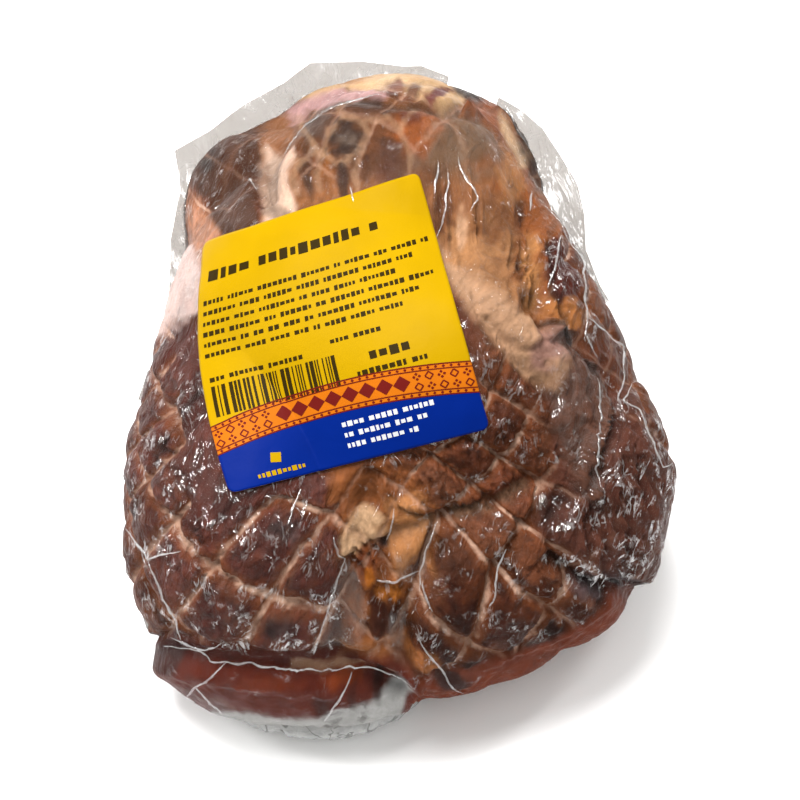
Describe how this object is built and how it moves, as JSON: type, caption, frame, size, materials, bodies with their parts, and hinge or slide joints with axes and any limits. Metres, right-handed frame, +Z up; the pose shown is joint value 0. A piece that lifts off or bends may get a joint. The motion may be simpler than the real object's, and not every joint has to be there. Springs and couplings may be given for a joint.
{
  "type": "vacuum-packed smoked ham hock",
  "caption": "Hot-smoked ham hock, lobed and marked by its smoking net, shrink-wrapped in clear film with a stuck-on label.",
  "frame": {"origin": "centre of the pack's box on the surface it lies on", "axes": "+Z up, with the label on top; +Y from the wide end towards the narrow end; +X to the right as the label is read"},
  "size_m": [0.1504, 0.1888, 0.0955],
  "materials": {
    "smoked_meat": "smoked meat and rind behind tight glossy clear film",
    "clear_film": "clear shrink film with creases",
    "label_paper": "glossy printed label, yellow with an orange band and a blue foot"
  },
  "bodies": {
    "root": {"bag": "smoked_meat", "label": "label_paper"}
  },
  "joints": []
}
